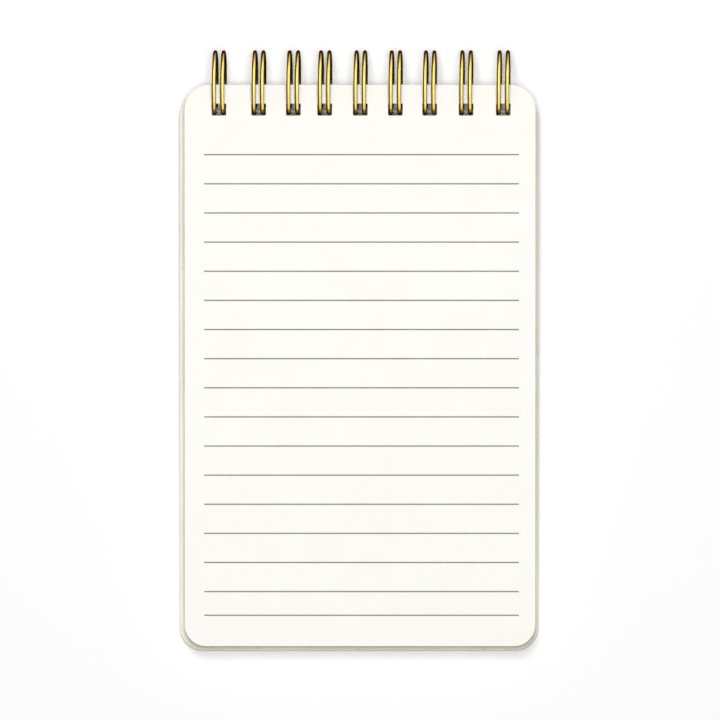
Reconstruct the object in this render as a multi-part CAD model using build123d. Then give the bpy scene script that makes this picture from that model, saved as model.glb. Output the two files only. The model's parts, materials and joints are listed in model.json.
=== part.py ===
from build123d import *
import os
from math import asin, atan2, cos, degrees, pi, sin, sqrt

# Pocket notebook, bound along its top edge with a twin-loop wire.
# It lies open at its first ruled sheet, with the front cover folded right round behind the
# back cover. +X runs along the binding, +Y from the foot of the page to the loops, and +Z up
# from the table. The leaves are laid out flat about the loops' centre line, the X axis of the
# ring frame, and the whole notebook is then tilted to rest on its loops and on the foot of
# its cover. The origin ends up at the middle of the notebook's footprint. Lengths are in mm.

# Sheets and covers
SHEET_COUNT = 40
SHEET_WIDTH = 83.5
SHEET_LENGTH = 133.8
SHEET_THICK = 0.12
SHEET_PITCH = 0.13
SHEET_X = 0.26  # the sheets sit a little right of the covers' middle
SHEET_SWAY = 0.05  # how far a sheet is knocked sideways in the stack, at most
SHEET_TOP_RADIUS = 6.0
SHEET_FOOT_RADIUS = 5.0
COVER_WIDTH = 85.5
COVER_OVERHANG = 1.3  # the covers' foot past the first sheet's foot
COVER_TOP_RADIUS = 8.0  # rounder than the sheets', so that the top corners tuck under them
COVER_FOOT_RADIUS = 5.5
FRONT_THICK = 0.5
BACK_THICK = 0.9
COVER_GAP = 0.05  # air between a folded cover and what it lies on
CREASE_DROP = 10.3  # from the front cover's top edge to its scored crease
CREASE_SLIT = 0.1

# Punched holes
HOLE_X = 0.5  # the middle hole, off the covers' middle
LOOP_COUNT = 9
LOOP_PITCH = 8.467  # three to the inch
LOOP_DRIFT = (0, 1.0, 0.8, -0.2, -0.2, -0.3, -0.6, -0.4, 0)  # each hole, off the even pitch
HOLE_WIDTH = 3.6
HOLE_HEIGHT = 2.9
HOLE_CORNER = 0.3
HOLE_FOOT = 7.35  # from a leaf's top edge to the far side of its holes
HOLE_CLEARANCE = 0.12  # between that side and the wire

# Twin-loop wire
WIRE_RADIUS = 0.475
WIRE_X = -0.12  # the loops sit a little left in their holes
RING_RADIUS = 7.25  # to the middle of the wire
TWIN_SPACING = 2.0  # between the two wires of a loop
LINK_BEND = 0.9  # radius where a wire turns along the binding at its root
LINK_GAP = 1.35  # room for the closed seam between the last sheet and the back cover
TIP_DROP = 1.35  # from the seam's line to the middle of each loop's closed tip

HALF_TWIN = TWIN_SPACING / 2
SHEET_STACK = SHEET_COUNT * SHEET_PITCH
FULL_STACK = COVER_GAP + BACK_THICK + LINK_GAP + SHEET_STACK + COVER_GAP
FRONT_DROP = (FULL_STACK + FRONT_THICK) / 2  # the front cover's middle, below or above centre
BACK_LOW = -FULL_STACK / 2 + COVER_GAP
SHEETS_LOW = BACK_LOW + BACK_THICK + LINK_GAP
SEAM_HEIGHT = SHEETS_LOW - LINK_GAP / 2
SEAM_ANGLE = asin(SEAM_HEIGHT / RING_RADIUS)
SETTLE = degrees(asin((LINK_GAP - COVER_GAP) / SHEET_LENGTH))  # the block's foot lies on the cover
HOLE_CENTRES = [
    HOLE_X + (n - (LOOP_COUNT - 1) / 2) * LOOP_PITCH + LOOP_DRIFT[n] for n in range(LOOP_COUNT)
]
TOP_EDGE = HOLE_FOOT - HOLE_CLEARANCE - RING_RADIUS - WIRE_RADIUS  # every leaf's, along Y
COVER_FOOT = TOP_EDGE - SHEET_LENGTH - COVER_OVERHANG
CREASE_Y = TOP_EDGE - CREASE_DROP


def hole_row():
    """The nine punched holes, about a top edge that lies on the X axis."""
    hole = fillet(Rectangle(HOLE_WIDTH, HOLE_HEIGHT).vertices(), HOLE_CORNER)
    middle = HOLE_HEIGHT / 2 - HOLE_FOOT
    return Sketch() + [Pos(x, middle) * hole for x in HOLE_CENTRES]


def leaf(width, length, top_radius, foot_radius, thick, middle_x):
    """A flat leaf with round corners and holes, its top edge on the X axis and its underside at 0."""
    outline = Pos(middle_x, -length / 2) * Rectangle(width, length)
    outline = fillet(outline.vertices().group_by(Axis.Y)[-1], top_radius)
    outline = fillet(outline.vertices().group_by(Axis.Y)[0], foot_radius)
    return extrude(outline - hole_row(), thick)


def sheets():
    """Every ruled sheet, the first on top.

    The block is turned about the loops' centre line until its foot settles on the back cover.
    """
    one = leaf(
        SHEET_WIDTH, SHEET_LENGTH, SHEET_TOP_RADIUS, SHEET_FOOT_RADIUS, SHEET_THICK, SHEET_X
    )
    found = {}
    for number in range(1, SHEET_COUNT + 1):
        low = SHEETS_LOW + (SHEET_COUNT - number) * SHEET_PITCH
        sway = SHEET_SWAY * sin(2.4 * (number - 1))
        found[f"sheet_{number:02d}"] = Rot(X=SETTLE) * Pos(sway, TOP_EDGE, low) * one
    return found


def cover(thick, low):
    """A whole cover with its underside at this height."""
    length = TOP_EDGE - COVER_FOOT
    whole = leaf(COVER_WIDTH, length, COVER_TOP_RADIUS, COVER_FOOT_RADIUS, thick, 0)
    return Pos(0, TOP_EDGE, low) * whole


def back_cover():
    return cover(BACK_THICK, BACK_LOW)


def front_cover():
    """The front cover's punched margin and its panel, divided at the scored crease."""
    whole = cover(FRONT_THICK, -FRONT_DROP - FRONT_THICK / 2)
    crease = Plane((0, CREASE_Y, 0), z_dir=(0, 1, 0))
    margin = split(whole, crease.offset(CREASE_SLIT / 2), Keep.TOP)
    panel = split(whole, crease.offset(-CREASE_SLIT / 2), Keep.BOTTOM)
    return margin, panel


def ring_point(x, angle):
    """A point on a loop, with the angle from the holes' side upwards."""
    return Vector(x, -RING_RADIUS * cos(angle), RING_RADIUS * sin(angle))


def onward(angle):
    """The way a loop runs there, towards larger angles."""
    return Vector(0, sin(angle), cos(angle))


def ring_arc(x, start, end):
    middle = (start + end) / 2
    return ThreePointArc(ring_point(x, start), ring_point(x, middle), ring_point(x, end))


def quarter_bend(x, angle, side):
    """From the root of a wire, down and out along the binding. side is 1 for +X and -1 for -X."""
    root = ring_point(x, angle)
    down = onward(angle) * -LINK_BEND
    out = Vector(side * LINK_BEND, 0, 0)
    middle = root + out * (1 - cos(pi / 4)) + down * sin(pi / 4)
    return ThreePointArc(root, middle, root + out + down)


def binding_wire():
    """One strand that goes out along each loop, back beside itself, and on to the next loop.

    The closed tips come up through the covers and nest between the roots, at the seam.
    """
    root = SEAM_ANGLE + LINK_BEND / RING_RADIUS
    tip = SEAM_ANGLE - TIP_DROP / RING_RADIUS + 2 * pi
    path = []
    for number, hole_x in enumerate(HOLE_CENTRES):
        x = hole_x + WIRE_X
        left, right = x - HALF_TWIN, x + HALF_TWIN
        if number > 0:
            bend = quarter_bend(left, root, -1)
            path += [Line(path[-1] @ 1, bend @ 1), bend]
        apex = ring_point(x, tip) + onward(tip) * HALF_TWIN
        path.append(ring_arc(left, root, tip))
        path.append(ThreePointArc(ring_point(left, tip), apex, ring_point(right, tip)))
        path.append(ring_arc(right, tip, root))
        if number < LOOP_COUNT - 1:
            path.append(quarter_bend(right, root, 1))
    strand = Wire([edge for run in path for edge in run.edges()])
    start = Plane(path[0] @ 0, z_dir=onward(root))
    return sweep(start * Circle(WIRE_RADIUS), path=strand)


def wire_loops():
    """The one wire as nine stretches, each a simple loop, parted halfway along the links."""
    rest = binding_wire()
    found = {}
    for number in range(1, LOOP_COUNT):
        halfway = (HOLE_CENTRES[number - 1] + HOLE_CENTRES[number]) / 2 + WIRE_X
        parting = Plane((halfway, 0, 0), z_dir=(-1, 0, 0))
        found[f"wire_loop_{number}"] = split(rest, parting, Keep.TOP)
        rest = split(rest, parting, Keep.BOTTOM)
    found[f"wire_loop_{LOOP_COUNT}"] = rest
    return found


def notebook():
    """Every piece in the ring frame, by name."""
    margin, panel = front_cover()
    pieces = {"back_cover": back_cover(), "front_cover_margin": margin, "front_cover_panel": panel}
    return pieces | wire_loops() | sheets()


def resting_tilt():
    """The turn about X at which the loops and the foot of the folded cover both touch the table."""
    underside = FRONT_DROP + FRONT_THICK / 2
    reach = sqrt(COVER_FOOT**2 + underside**2)
    return asin((RING_RADIUS + WIRE_RADIUS) / reach) - atan2(underside, -COVER_FOOT)


TILT = Rot(X=degrees(resting_tilt()))
tilted = {name: TILT * piece for name, piece in notebook().items()}
box = Compound(list(tilted.values())).bounding_box()
stand = Pos(-(box.min.X + box.max.X) / 2, -(box.min.Y + box.max.Y) / 2, -box.min.Z)
os.makedirs("parts", exist_ok=True)
for name, piece in tilted.items():
    export_step(stand * piece, f"parts/{name}.step")

place = stand * TILT
crease_line = place * Pos(0, CREASE_Y, -FRONT_DROP)
crease_reach = sqrt(CREASE_Y**2 + FRONT_DROP**2)
print("tilt, degrees", round(degrees(resting_tilt()), 4))
print("ring centre", [round(v, 4) for v in place.position])
print("crease", [round(v, 4) for v in crease_line.position])
print("crease angle, degrees", round(degrees(asin(FRONT_DROP / crease_reach)), 4))
print("overall size", [round(v, 3) for v in box.size])
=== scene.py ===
import json
import math

import bmesh
import bpy
from mathutils import Matrix, Vector


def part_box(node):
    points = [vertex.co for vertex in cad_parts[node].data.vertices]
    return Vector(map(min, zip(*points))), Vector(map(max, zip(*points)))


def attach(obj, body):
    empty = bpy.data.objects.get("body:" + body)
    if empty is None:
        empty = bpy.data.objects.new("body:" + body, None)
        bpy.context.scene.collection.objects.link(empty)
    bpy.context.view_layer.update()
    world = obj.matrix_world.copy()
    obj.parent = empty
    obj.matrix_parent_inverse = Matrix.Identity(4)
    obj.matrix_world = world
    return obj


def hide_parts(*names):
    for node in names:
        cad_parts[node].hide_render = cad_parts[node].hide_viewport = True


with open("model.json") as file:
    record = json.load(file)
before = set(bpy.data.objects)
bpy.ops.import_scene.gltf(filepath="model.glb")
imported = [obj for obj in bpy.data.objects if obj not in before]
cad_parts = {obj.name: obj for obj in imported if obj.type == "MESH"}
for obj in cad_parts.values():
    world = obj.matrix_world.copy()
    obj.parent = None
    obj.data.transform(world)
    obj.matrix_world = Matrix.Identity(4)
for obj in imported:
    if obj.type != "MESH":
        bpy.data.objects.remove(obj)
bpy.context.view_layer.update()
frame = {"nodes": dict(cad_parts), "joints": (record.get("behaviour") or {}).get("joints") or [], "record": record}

# Pocket notebook on a closed twin-loop wire, open at its first ruled sheet. Lengths named _MM are
# in millimetres; meshes are made in the ring frame, whose X axis is the loops' centre line, and
# placed by RING_FRAME in the part's own frame, in metres.

MM = 0.001

# Paper and boards
SHEET_WIDTH_MM = 83.5
SHEET_LENGTH_MM = 133.8
COVER_WIDTH_MM = 85.5
COVER_TOP_RADIUS_MM = 8.0
COVER_FOOT_RADIUS_MM = 5.5
FRONT_THICK_MM = 0.5
BACK_THICK_MM = 0.9
FRONT_DROP_MM = 4.025
BACK_LOW_MM = -3.725
TOP_EDGE_MM = -0.495
COVER_FOOT_MM = -135.595
RIM_ROUNDING_MM = 0.09
CREASE_DROP_MM = 10.3
CREASE_HALF_WIDTH_MM = 0.35
CREASE_DEPTH_MM = 0.09
CORNER_STEPS = 12
RIM_STEPS = 2
BOARD_SHARP_DEGREES = 40
FLATTEST_EDGE = 0.35  # a facet whose normal rises less than this is on the cut edge

# Punched holes
LOOP_PITCH_MM = 8.467
LOOP_DRIFT_MM = (0, 1.0, 0.8, -0.2, -0.2, -0.3, -0.6, -0.4, 0)
HOLE_X_MM = 0.5
HOLE_WIDTH_MM = 3.6
HOLE_HEIGHT_MM = 2.9
HOLE_CORNER_MM = 0.3
HOLE_CORNER_STEPS = 4
HOLE_FOOT_MM = 7.35

# Wire
WIRE_RADIUS_MM = 0.475
WIRE_X_MM = -0.12
RING_RADIUS_MM = 7.25
HALF_TWIN_MM = 1.0
LINK_BEND_MM = 0.9
SEAM_HEIGHT_MM = -2.15
TIP_DROP_MM = 1.35
LEAN_ALONG = 0.0105  # how far a loop leans along the binding, for each mm towards +Y
LEAN_UP = -0.035  # and for each mm upwards
LEAN_FROM_MM = (-6.4, 3.6)  # where along Y and Z a loop stands true
ARC_STEPS = 96
BEND_STEPS = 8
TIP_STEPS = 16
WIRE_ROUND_STEPS = 6
WIRE_SHARP_DEGREES = 50

# Ruling, from the first sheet's top edge and its left edge
FIRST_LINE_MM = 16.63
LINE_PITCH_MM = 6.944
EVEN_LINES = 16
LAST_LINE_MM = 126.45
LINE_LEFT_MM = 4.6
LINE_RIGHT_MM = 79.6
LINE_HALF_MM = 0.16

# Colours, as linear red, green and blue with alpha
PAGE_IVORY = (0.93, 0.925, 0.885, 1)
PAGE_NEAR_BINDING = (0.925, 0.905, 0.85, 1)
PAGE_CLOUD = (0.90, 0.885, 0.835, 1)
PAGE_FLECK = (0.80, 0.77, 0.70, 1)
RULING_INK = (0.26, 0.235, 0.22, 1)
BACK_BEIGE = (0.83, 0.795, 0.71, 1)
BACK_CLOUD = (0.785, 0.745, 0.655, 1)
FRONT_BEIGE = (0.82, 0.78, 0.695, 1)
FRONT_CLOUD = (0.77, 0.725, 0.635, 1)
CARD_FLECK = (0.42, 0.35, 0.26, 1)
CARD_RUBBED = (0.84, 0.80, 0.73, 1)
CORE_TAN = (0.62, 0.56, 0.47, 1)
CORE_LAYER = (0.50, 0.44, 0.36, 1)
CORE_FLECK = (0.34, 0.29, 0.22, 1)
GOLD = (1.0, 0.79, 0.22, 1)
DEEP_GOLD = (0.97, 0.69, 0.15, 1)
# painted shade: near-black brown on the wire's sides
FLANK_PAINTED_SHADE = (0.07, 0.045, 0.015, 1)
# painted shade: near-black on the inner side, back and sunken part of the loops
INSIDE_PAINTED_SHADE = (0.035, 0.024, 0.010, 1)
# painted light: pale matte grey where the loops close, low in the holes
SEAM_PAINTED_LIGHT = (0.62, 0.57, 0.50, 1)
GOLD_EDGE_TINT = (0.34, 0.22, 0.08, 1)

# Studio, in metres
FLOOR_HALF = 3.0
FLOOR_DIM = (0.93, 0.93, 0.93, 1)
FLOOR_BRIGHT = (0.95, 0.95, 0.95, 1)
AMBIENT = (0.09, 0.09, 0.09, 1)
REFLECTED_ROOM = (1.2, 1.18, 1.08, 1)
BACKDROP = (0.9, 0.9, 0.9, 1)
CAMERA_REACH = 3.0
CAMERA_ACROSS = 0.00024
CAMERA_ALONG = -0.00226
VIEW_WIDTH = 0.1714
SENSOR_MM = 36.0

HOLE_CENTRES_MM = [
    HOLE_X_MM + (n - (len(LOOP_DRIFT_MM) - 1) / 2) * LOOP_PITCH_MM + drift
    for n, drift in enumerate(LOOP_DRIFT_MM)
]
LOOP_X_MM = [x + WIRE_X_MM for x in HOLE_CENTRES_MM]


def resting_tilt():
    """The notebook's tilt about X, from the way its resting face looks."""
    face = next(m for m in frame["record"]["mounts"] if m["name"] == "resting_face")
    return math.atan2(face["axis"][1], -face["axis"][2])


def ring_frame():
    turn = next(j for j in frame["joints"] if j["name"] == "sheet_01_turn")
    return Matrix.Translation(turn["pos_m"]) @ Matrix.Rotation(resting_tilt(), 4, "X")


RING_FRAME = ring_frame() @ Matrix.Scale(MM, 4)


# ---------------------------------------------------------------- shader nodes


def add(tree, kind, values=None, **settings):
    """A node with its settings, and with the named or numbered inputs set or linked."""
    made = tree.nodes.new(kind)
    for name, value in settings.items():
        setattr(made, name, value)
    for name, value in (values or {}).items():
        if isinstance(value, bpy.types.NodeSocket):
            tree.links.new(value, made.inputs[name])
        else:
            made.inputs[name].default_value = value
    return made


def maths(tree, operation, *values):
    return add(tree, "ShaderNodeMath", dict(enumerate(values)), operation=operation).outputs[0]


def vectors(tree, operation, *values):
    made = add(tree, "ShaderNodeVectorMath", dict(enumerate(values)), operation=operation)
    return next(s for s in made.outputs if s.enabled)


def ramp(tree, value, low, high, start=0.0, end=1.0):
    """Turns low..high smoothly into start..end."""
    values = {"Value": value, "From Min": low, "From Max": high, "To Min": start, "To Max": end}
    made = add(tree, "ShaderNodeMapRange", values, interpolation_type="SMOOTHSTEP")
    return made.outputs["Result"]


def noise(tree, position, scale, detail=2.0, roughness=0.5):
    values = {"Vector": position, "Scale": scale, "Detail": detail, "Roughness": roughness}
    return add(tree, "ShaderNodeTexNoise", values).outputs["Fac"]


def stretched(tree, position, scale):
    """The position stretched by a scale for each axis."""
    values = {"Vector": position, "Scale": scale}
    return add(tree, "ShaderNodeMapping", values).outputs["Vector"]


def mix(tree, factor, first, second):
    made = add(tree, "ShaderNodeMix", data_type="RGBA")
    sockets = [s for s in made.inputs if s.enabled]
    for socket, value in zip(sockets, (factor, first, second)):
        if isinstance(value, bpy.types.NodeSocket):
            tree.links.new(value, socket)
        else:
            socket.default_value = value
    return next(s for s in made.outputs if s.enabled)


def group(name, inputs, outputs):
    """A new shader node group. Returns its tree, its inputs' sockets and its output node."""
    tree = bpy.data.node_groups.new(name, "ShaderNodeTree")
    for label, kind in inputs.items():
        tree.interface.new_socket(label, in_out="INPUT", socket_type=kind)
    for label, kind in outputs.items():
        tree.interface.new_socket(label, in_out="OUTPUT", socket_type=kind)
    return tree, tree.nodes.new("NodeGroupInput").outputs, tree.nodes.new("NodeGroupOutput")


def place(tree, inner, values):
    """A group in a material, with its inputs set or linked. Returns its outputs."""
    return add(tree, "ShaderNodeGroup", values, node_tree=inner).outputs


def paper_fibre_group():
    """Cloudy tone and short crossing fibres, as in uncoated paper and board."""
    tree, given, out = group(
        "paper_fibre",
        {
            "Position": "NodeSocketVector",
            "Cloud Scale": "NodeSocketFloat",
            "Fibre Scale": "NodeSocketFloat",
        },
        {"Tone": "NodeSocketFloat", "Fleck": "NodeSocketFloat", "Height": "NodeSocketFloat"},
    )
    where, fine = given["Position"], given["Fibre Scale"]
    clouds = noise(tree, where, given["Cloud Scale"], 3.0, 0.6)
    along = noise(tree, stretched(tree, where, (1, 0.22, 1)), fine, 2.0)
    across = noise(tree, stretched(tree, where, (0.25, 1, 1)), fine, 2.0)
    fibres = maths(tree, "MAXIMUM", along, across)
    fleck = ramp(tree, fibres, 0.66, 0.78)
    felt = maths(tree, "MULTIPLY_ADD", fibres, 0.6, maths(tree, "MULTIPLY", clouds, 0.4))
    tree.links.new(clouds, out.inputs["Tone"])
    tree.links.new(fleck, out.inputs["Fleck"])
    tree.links.new(felt, out.inputs["Height"])
    return tree


def rubbed_rim_group():
    """Where handling has rubbed a board's rim, from its rim mask and a broken-up pattern."""
    tree, given, out = group(
        "rubbed_rim",
        {
            "Rim": "NodeSocketFloat",
            "Position": "NodeSocketVector",
            "Patch Scale": "NodeSocketFloat",
        },
        {"Wear": "NodeSocketFloat"},
    )
    patches = noise(tree, given["Position"], given["Patch Scale"], 4.0, 0.65)
    broken = ramp(tree, patches, 0.38, 0.62)
    tree.links.new(maths(tree, "MULTIPLY", given["Rim"], broken), out.inputs["Wear"])
    return tree


def ruling_group():
    """How much ink lies at a place on a page, given in metres from its top left corner."""
    tree, given, out = group(
        "ruling",
        {"Across": "NodeSocketFloat", "Down": "NodeSocketFloat"},
        {"Ink": "NodeSocketFloat"},
    )
    pitch = LINE_PITCH_MM * MM
    soft, half = 0.3 * LINE_HALF_MM * MM, LINE_HALF_MM * MM
    left, right = LINE_LEFT_MM * MM, LINE_RIGHT_MM * MM
    below_first = maths(tree, "SUBTRACT", given["Down"], FIRST_LINE_MM * MM)
    count = maths(tree, "DIVIDE", below_first, pitch)
    nearest = maths(tree, "ROUND", count)
    nearest = maths(tree, "MINIMUM", maths(tree, "MAXIMUM", nearest, 0.0), EVEN_LINES - 1.0)
    off = maths(tree, "ABSOLUTE", maths(tree, "SUBTRACT", count, nearest))
    off = maths(tree, "MULTIPLY", off, pitch)
    last = maths(tree, "ABSOLUTE", maths(tree, "SUBTRACT", given["Down"], LAST_LINE_MM * MM))
    line = ramp(tree, maths(tree, "MINIMUM", off, last), half - soft, half + soft, 1.0, 0.0)
    after = ramp(tree, given["Across"], left - soft, left + soft)
    before = ramp(tree, given["Across"], right - soft, right + soft, 1.0, 0.0)
    ink = maths(tree, "MULTIPLY", line, maths(tree, "MULTIPLY", after, before))
    tree.links.new(ink, out.inputs["Ink"])
    return tree


# ---------------------------------------------------------------- materials


def new_material(name):
    material = bpy.data.materials.new(name)
    material.use_nodes = True
    tree = material.node_tree
    return material, tree, tree.nodes["Principled BSDF"]


def bumped(tree, shader, height, distance, strength=1.0):
    values = {"Height": height, "Distance": distance, "Strength": strength}
    made = add(tree, "ShaderNodeBump", values)
    tree.links.new(made.outputs["Normal"], shader.inputs["Normal"])


def page_material(fibre, ruling):
    """Ivory writing paper with fine grey ruling."""
    material, tree, shader = new_material("ruled_page")
    where = add(tree, "ShaderNodeTexCoord").outputs
    grain = place(
        tree, fibre, {"Position": where["Object"], "Cloud Scale": 90.0, "Fibre Scale": 1500.0}
    )
    share = add(tree, "ShaderNodeSeparateXYZ", {"Vector": where["Generated"]}).outputs
    across = maths(tree, "MULTIPLY", share["X"], SHEET_WIDTH_MM * MM)
    from_top = maths(tree, "SUBTRACT", 1.0, share["Y"])
    down = maths(tree, "MULTIPLY", from_top, SHEET_LENGTH_MM * MM)
    ink = place(tree, ruling, {"Across": across, "Down": down})["Ink"]
    printed = maths(tree, "MULTIPLY", ink, ramp(tree, grain["Height"], 0.2, 0.5, 0.7, 1.0))
    warm = ramp(tree, down, 0.0, 0.05, 1.0, 0.0)
    paper = mix(tree, warm, PAGE_IVORY, PAGE_NEAR_BINDING)
    paper = mix(tree, ramp(tree, grain["Tone"], 0.3, 0.7, 0.0, 0.5), paper, PAGE_CLOUD)
    paper = mix(tree, maths(tree, "MULTIPLY", grain["Fleck"], 0.12), paper, PAGE_FLECK)
    inked = mix(tree, printed, paper, RULING_INK)
    tree.links.new(inked, shader.inputs["Base Color"])
    rough = ramp(tree, grain["Tone"], 0.3, 0.7, 0.74, 0.84)
    tree.links.new(rough, shader.inputs["Roughness"])
    shader.inputs["Specular IOR Level"].default_value = 0.3
    bumped(tree, shader, grain["Height"], 0.00004, 0.5)
    return material


def card_material(name, fibre, rubbed, colour, dark, patch_scale):
    """Uncoated beige card or board, a little lighter and rougher where its rim is rubbed."""
    material, tree, shader = new_material(name)
    where = add(tree, "ShaderNodeTexCoord").outputs["Object"]
    grain = place(tree, fibre, {"Position": where, "Cloud Scale": 60.0, "Fibre Scale": 1100.0})
    rim = add(tree, "ShaderNodeAttribute", attribute_name="rim").outputs["Fac"]
    wear = place(tree, rubbed, {"Rim": rim, "Position": where, "Patch Scale": patch_scale})["Wear"]
    base = mix(tree, ramp(tree, grain["Tone"], 0.3, 0.7), colour, dark)
    base = mix(tree, maths(tree, "MULTIPLY", grain["Fleck"], 0.35), base, CARD_FLECK)
    base = mix(tree, maths(tree, "MULTIPLY", wear, 0.35), base, CARD_RUBBED)
    tree.links.new(base, shader.inputs["Base Color"])
    rough = ramp(tree, grain["Tone"], 0.3, 0.7, 0.66, 0.8)
    rough = maths(tree, "MULTIPLY_ADD", wear, 0.12, rough)
    tree.links.new(rough, shader.inputs["Roughness"])
    bumped(tree, shader, grain["Height"], 0.00008, 0.6)
    return material


def core_material(fibre):
    """The cut edge of the boards, with its pressed layers showing."""
    material, tree, shader = new_material("board_core")
    where = add(tree, "ShaderNodeTexCoord").outputs["Object"]
    grain = place(tree, fibre, {"Position": where, "Cloud Scale": 220.0, "Fibre Scale": 1600.0})
    layers = noise(tree, stretched(tree, where, (0.06, 0.06, 1)), 9000.0, 2.0)
    base = mix(tree, ramp(tree, layers, 0.3, 0.7), CORE_TAN, CORE_LAYER)
    base = mix(tree, maths(tree, "MULTIPLY", grain["Fleck"], 0.5), base, CORE_FLECK)
    tree.links.new(base, shader.inputs["Base Color"])
    tree.links.new(ramp(tree, layers, 0.2, 0.8, 0.8, 0.92), shader.inputs["Roughness"])
    bumped(tree, shader, maths(tree, "ADD", layers, grain["Height"]), 0.00006, 0.7)
    return material


def wire_material():
    """Bright gold outside each loop, with painted shade on its sides, on its inner side, at its back and down in
    the holes, and a painted pale grey at the seam.
    """
    material, tree, shader = new_material("gold_wire")
    where = add(tree, "ShaderNodeTexCoord").outputs
    from_centre = vectors(tree, "SUBTRACT", where["Object"], RING_FRAME.translation)
    spoke = vectors(tree, "NORMALIZE", vectors(tree, "MULTIPLY", from_centre, (0, 1, 1)))
    outward = vectors(tree, "DOT_PRODUCT", where["Normal"], spoke)
    side = add(tree, "ShaderNodeSeparateXYZ", {"Vector": where["Normal"]}).outputs["X"]
    place_round = add(tree, "ShaderNodeSeparateXYZ", {"Vector": spoke}).outputs
    back = place_round["Y"]
    # Painted shade: the wire's sides, facing either way along the binding, are darkened towards near-black brown,
    # for the dark edges lamps leave on round wire. The darkened band widens towards the back of the loops.
    taper = ramp(tree, back, 0.35, 0.95, 0.0, 0.5)
    left = ramp(tree, maths(tree, "SUBTRACT", taper, side), 0.14, 0.4)
    right = ramp(tree, maths(tree, "ADD", taper, side), 0.72, 0.95)
    flank = maths(tree, "MAXIMUM", left, right)
    # Painted shade: the inner side of each loop, its back beyond the pages' top edge and the wire where it passes
    # down through the holes are painted near-black. This stands for the shade and dark reflections that fall
    # there.
    inside = ramp(tree, outward, -0.35, 0.05, 1.0, 0.0)
    inside = maths(tree, "MAXIMUM", inside, ramp(tree, back, 0.86, 0.93))
    front = ramp(tree, back, -0.97, -0.93, 1.0, 0.0)
    inside = maths(tree, "MAXIMUM", inside, front)
    # Painted light: low in the holes, where the loops close, the wire is painted pale matte grey and made not
    # metal. This makes the holes look light grey inside, where shade would leave them dark.
    seam = ramp(tree, back, -0.9, -0.8, 1.0, 0.0)
    seam = maths(tree, "MULTIPLY", seam, ramp(tree, place_round["Z"], -0.1, 0.0, 1.0, 0.0))
    clouds = noise(tree, where["Object"], 700.0, 3.0, 0.6)
    drawn = noise(tree, stretched(tree, where["Object"], (1, 0.08, 0.08)), 9000.0, 2.0)
    base = mix(tree, ramp(tree, clouds, 0.3, 0.7), GOLD, DEEP_GOLD)
    # painted shade on the wire's sides
    base = mix(tree, maths(tree, "MULTIPLY", flank, 0.95), base, FLANK_PAINTED_SHADE)
    # painted shade on the inner side, the back and the wire down in the holes
    base = mix(tree, maths(tree, "MULTIPLY", inside, 0.96), base, INSIDE_PAINTED_SHADE)
    # painted light: pale matte grey at the seam
    base = mix(tree, maths(tree, "MULTIPLY", seam, 0.9), base, SEAM_PAINTED_LIGHT)
    tree.links.new(base, shader.inputs["Base Color"])
    tree.links.new(maths(tree, "MULTIPLY_ADD", seam, -0.85, 1.0), shader.inputs["Metallic"])
    shader.inputs["Specular Tint"].default_value = GOLD_EDGE_TINT
    rough = maths(tree, "MULTIPLY_ADD", flank, 0.1, ramp(tree, clouds, 0.3, 0.7, 0.18, 0.28))
    rough = maths(tree, "MULTIPLY_ADD", seam, 0.25, rough)
    tree.links.new(rough, shader.inputs["Roughness"])
    bumped(tree, shader, drawn, 0.000006, 0.5)
    return material


# ---------------------------------------------------------------- boards


def rounded_outline(left, right, foot, top, foot_radius, top_radius, steps):
    """The corners of a rectangle turned round by arcs, anticlockwise from the lower left."""
    corners = (
        (left + foot_radius, foot + foot_radius, foot_radius, 180),
        (right - foot_radius, foot + foot_radius, foot_radius, 270),
        (right - top_radius, top - top_radius, top_radius, 0),
        (left + top_radius, top - top_radius, top_radius, 90),
    )
    points = []
    for x, y, radius, start in corners:
        for step in range(steps + 1):
            angle = math.radians(start + 90 * step / steps)
            points.append((x + radius * math.cos(angle), y + radius * math.sin(angle)))
    return points


def board_curve(outlines, thick, rounding):
    """A flat curve object's data, filled between its outlines, with rounded rims."""
    data = bpy.data.curves.new("board_outline", "CURVE")
    data.dimensions = "2D"
    data.fill_mode = "BOTH"
    data.extrude = thick / 2 - rounding
    data.bevel_depth = rounding
    data.bevel_resolution = RIM_STEPS
    data.offset = -rounding
    for outline in outlines:
        spline = data.splines.new("POLY")
        spline.points.add(len(outline) - 1)
        for point, (x, y) in zip(spline.points, outline):
            point.co = (x, y, 0, 1)
        spline.use_cyclic_u = True
    return data


def press_crease(mesh, at, depth, half_width, thick):
    """A scored crease across a board: a shallow rounded groove in each face."""
    shape = bmesh.new()
    shape.from_mesh(mesh)
    for share in (-1, -0.5, 0, 0.5, 1):
        line = Vector((0, at + share * half_width, 0))
        everything = shape.verts[:] + shape.edges[:] + shape.faces[:]
        bmesh.ops.bisect_plane(
            shape, geom=everything, dist=1e-5, plane_co=line, plane_no=(0, 1, 0)
        )
    for vert in shape.verts:
        near = abs(vert.co.y - at) / half_width
        if near < 1 and abs(vert.co.z) > thick * 0.3:
            sink = depth * (0.5 + 0.5 * math.cos(math.pi * near))
            vert.co.z -= math.copysign(sink, vert.co.z)
    shape.to_mesh(mesh)
    shape.free()


def mark_rim(mesh, thick, rounding):
    """Keeps, at each point, 1 on the rounded rim and the cut edge and 0 on the faces."""
    rim = mesh.attributes.new("rim", "FLOAT", "POINT")
    for vert, value in zip(mesh.vertices, rim.data):
        depth = (thick / 2 - abs(vert.co.z)) / rounding
        value.value = min(max(depth, 0.0), 1.0)


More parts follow.
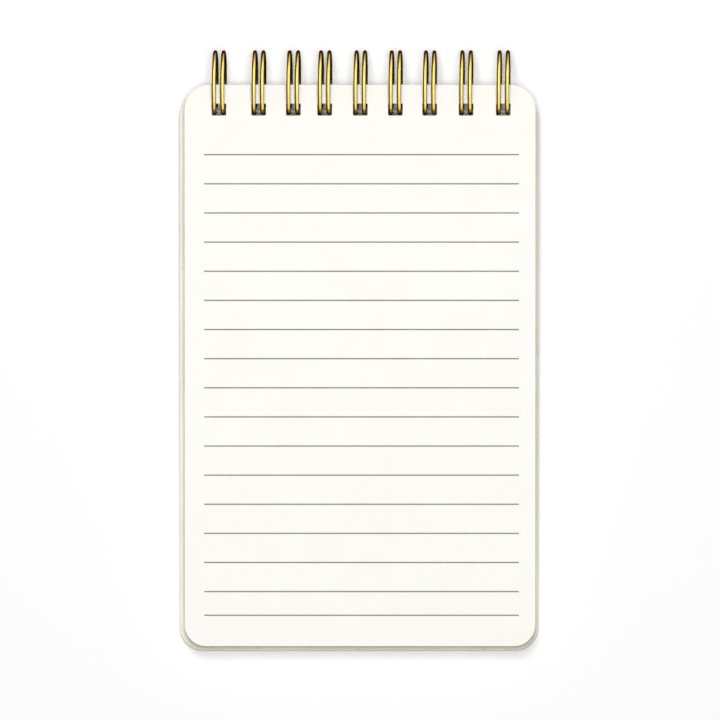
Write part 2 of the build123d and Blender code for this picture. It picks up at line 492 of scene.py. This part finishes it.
def cover_piece(name, thick, low, faces, core, crease=None):
    """A whole cover with its holes, rounded rims and cut edge, its underside at this height."""
    half = COVER_WIDTH_MM / 2
    radii = (COVER_FOOT_RADIUS_MM, COVER_TOP_RADIUS_MM)
    outlines = [rounded_outline(-half, half, COVER_FOOT_MM, TOP_EDGE_MM, *radii, CORNER_STEPS)]
    hole_foot = TOP_EDGE_MM - HOLE_FOOT_MM
    for x in HOLE_CENTRES_MM:
        left, right = x - HOLE_WIDTH_MM / 2, x + HOLE_WIDTH_MM / 2
        sides = (left, right, hole_foot, hole_foot + HOLE_HEIGHT_MM)
        corners = (HOLE_CORNER_MM, HOLE_CORNER_MM, HOLE_CORNER_STEPS)
        outlines.append(rounded_outline(*sides, *corners))
    data = board_curve(outlines, thick, RIM_ROUNDING_MM)
    drawn = bpy.data.objects.new(name + "_outline", data)
    mesh = bpy.data.meshes.new_from_object(drawn)
    bpy.data.objects.remove(drawn)
    bpy.data.curves.remove(data)
    mark_rim(mesh, thick, RIM_ROUNDING_MM)
    if crease is not None:
        press_crease(mesh, crease, CREASE_DEPTH_MM, CREASE_HALF_WIDTH_MM, thick)
    mesh.materials.clear()
    mesh.materials.append(faces)
    mesh.materials.append(core)
    for polygon in mesh.polygons:
        polygon.material_index = 1 if abs(polygon.normal.z) < FLATTEST_EDGE else 0
        polygon.use_smooth = True
    mesh.set_sharp_from_angle(angle=math.radians(BOARD_SHARP_DEGREES))
    mesh.transform(RING_FRAME @ Matrix.Translation((0, 0, low + thick / 2)))
    mesh.name = name
    piece = bpy.data.objects.new(name, mesh)
    bpy.context.scene.collection.objects.link(piece)
    return piece


# ---------------------------------------------------------------- wire


def ring_point(x, angle):
    return Vector((x, -RING_RADIUS_MM * math.cos(angle), RING_RADIUS_MM * math.sin(angle)))


def onward(angle):
    """The way a loop runs there, towards larger angles."""
    return Vector((0, math.sin(angle), math.cos(angle)))


def loop_points(x, root, tip):
    """Out along a loop's left wire, round its closed tip and back along its right wire."""
    points = []
    for step in range(ARC_STEPS):
        points.append(ring_point(x - HALF_TWIN_MM, root + (tip - root) * step / ARC_STEPS))
    for step in range(TIP_STEPS + 1):
        turn = math.pi * step / TIP_STEPS
        middle = ring_point(x - HALF_TWIN_MM * math.cos(turn), tip)
        points.append(middle + onward(tip) * HALF_TWIN_MM * math.sin(turn))
    for step in range(ARC_STEPS - 1, -1, -1):
        points.append(ring_point(x + HALF_TWIN_MM, root + (tip - root) * step / ARC_STEPS))
    return points


def link_points(left, right, root):
    """From one loop's right root, down and along the binding, up to the next loop's left root."""
    leaving, arriving = [], []
    for step in range(1, BEND_STEPS + 1):
        turn = math.pi / 2 * step / BEND_STEPS
        across = LINK_BEND_MM * (1 - math.cos(turn))
        down = onward(root) * LINK_BEND_MM * math.sin(turn)
        leaving.append(ring_point(left + across, root) - down)
        arriving.append(ring_point(right - across, root) - down)
    return leaving + arriving[::-1]


def strand_points():
    """The whole strand, loop after loop, with the loops leaning a little along the binding."""
    seam = math.asin(SEAM_HEIGHT_MM / RING_RADIUS_MM)
    root = seam + LINK_BEND_MM / RING_RADIUS_MM
    tip = seam - TIP_DROP_MM / RING_RADIUS_MM + 2 * math.pi
    points = []
    for number, x in enumerate(LOOP_X_MM):
        points += loop_points(x, root, tip)
        if number + 1 < len(LOOP_X_MM):
            points += link_points(x + HALF_TWIN_MM, LOOP_X_MM[number + 1] - HALF_TWIN_MM, root)
    upright_y, upright_z = LEAN_FROM_MM
    for point in points:
        point.x += LEAN_ALONG * (point.y - upright_y) + LEAN_UP * (point.z - upright_z)
    return points


def wire_piece(material):
    data = bpy.data.curves.new("strand", "CURVE")
    data.dimensions = "3D"
    data.bevel_depth = WIRE_RADIUS_MM
    data.bevel_resolution = WIRE_ROUND_STEPS
    data.use_fill_caps = True
    points = strand_points()
    spline = data.splines.new("POLY")
    spline.points.add(len(points) - 1)
    for point, place_mm in zip(spline.points, points):
        point.co = (*place_mm, 1)
    drawn = bpy.data.objects.new("strand", data)
    mesh = bpy.data.meshes.new_from_object(drawn)
    bpy.data.objects.remove(drawn)
    bpy.data.curves.remove(data)
    mesh.transform(RING_FRAME)
    mesh.materials.clear()
    mesh.materials.append(material)
    for polygon in mesh.polygons:
        polygon.use_smooth = True
    mesh.set_sharp_from_angle(angle=math.radians(WIRE_SHARP_DEGREES))
    mesh.name = "gold_twin_loop_wire"
    piece = bpy.data.objects.new("gold_twin_loop_wire", mesh)
    bpy.context.scene.collection.objects.link(piece)
    return piece


# ---------------------------------------------------------------- notebook

fibre = paper_fibre_group()
rubbed = rubbed_rim_group()
page = page_material(fibre, ruling_group())
board = card_material("back_board", fibre, rubbed, BACK_BEIGE, BACK_CLOUD, 350.0)
card = card_material("front_card", fibre, rubbed, FRONT_BEIGE, FRONT_CLOUD, 420.0)
core = core_material(fibre)

for name, node in frame["nodes"].items():
    if name.startswith("sheet_"):
        node.data.materials.clear()
        node.data.materials.append(page)

back = cover_piece("back_board_cover", BACK_THICK_MM, BACK_LOW_MM, board, core)
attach(back, "root")
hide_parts("back_cover")

# The whole front cover stays flat and rides its panel, so that the wire runs through its holes
# both behind the back board and closed on the page. It doesn't bend at its crease.
front_low = -FRONT_DROP_MM - FRONT_THICK_MM / 2
front_crease = TOP_EDGE_MM - CREASE_DROP_MM
front = cover_piece("front_card_cover", FRONT_THICK_MM, front_low, card, core, front_crease)
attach(front, "cover_panel")
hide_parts("front_cover_margin", "front_cover_panel")

wire = wire_piece(wire_material())
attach(wire, "root")
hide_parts(*(f"wire_loop_{n + 1}" for n in range(len(LOOP_X_MM))))


# ---------------------------------------------------------------- stage


def studio_floor():
    half = FLOOR_HALF
    mesh = bpy.data.meshes.new("floor")
    corners = [(-half, -half, 0), (half, -half, 0), (half, half, 0), (-half, half, 0)]
    mesh.from_pydata(corners, [], [(0, 1, 2, 3)])
    floor = bpy.data.objects.new("floor", mesh)
    bpy.context.scene.collection.objects.link(floor)
    material, tree, shader = new_material("floor")
    where = add(tree, "ShaderNodeTexCoord").outputs["Object"]
    tone = noise(tree, where, 3.0)
    tree.links.new(mix(tree, tone, FLOOR_DIM, FLOOR_BRIGHT), shader.inputs["Base Color"])
    shader.inputs["Roughness"].default_value = 0.9
    shader.inputs["Specular IOR Level"].default_value = 0.1
    mesh.materials.append(material)


def softbox(name, place_at, width, length, power, mirrored):
    """A lamp aimed at the notebook. Only a mirrored one shows as a reflection."""
    data = bpy.data.lights.new(name, "AREA")
    data.shape = "RECTANGLE"
    data.size, data.size_y = width, length
    data.energy = power
    lamp = bpy.data.objects.new(name, data)
    lamp.location = place_at
    lamp.rotation_euler = Vector(place_at).to_track_quat("Z", "Y").to_euler()
    lamp.visible_camera = False
    lamp.visible_glossy = mirrored
    bpy.context.scene.collection.objects.link(lamp)


def studio_world():
    """Dim light all round, brighter as a reflection, with a pale backdrop where it is seen."""
    world = bpy.data.worlds.new("studio")
    bpy.context.scene.world = world
    world.use_nodes = True
    tree = world.node_tree
    path = add(tree, "ShaderNodeLightPath").outputs
    lit = mix(tree, path["Is Glossy Ray"], AMBIENT, REFLECTED_ROOM)
    shade = tree.nodes["Background"]
    tree.links.new(mix(tree, path["Is Camera Ray"], lit, BACKDROP), shade.inputs["Color"])


def overhead_camera():
    """Straight down through a long lens, at the first page's plane."""
    page_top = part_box("sheet_01")[1].z
    data = bpy.data.cameras.new("camera")
    data.sensor_width = SENSOR_MM
    data.lens = SENSOR_MM * CAMERA_REACH / VIEW_WIDTH
    data.clip_start, data.clip_end = 0.1, 20.0
    camera = bpy.data.objects.new("camera", data)
    camera.location = (CAMERA_ACROSS, CAMERA_ALONG, page_top + CAMERA_REACH)
    bpy.context.scene.collection.objects.link(camera)
    bpy.context.scene.camera = camera


studio_floor()
softbox("overhead", (0.0, 0.05, 1.3), 0.35, 0.35, 9.6, False)
softbox("from_behind", (-0.05, 0.45, 1.15), 0.35, 0.35, 4.6, False)
softbox("long_strip", (-0.05, 0.1, 1.2), 0.7, 2.6, 3.4, True)
studio_world()
overhead_camera()
bpy.context.scene.view_settings.view_transform = "Standard"
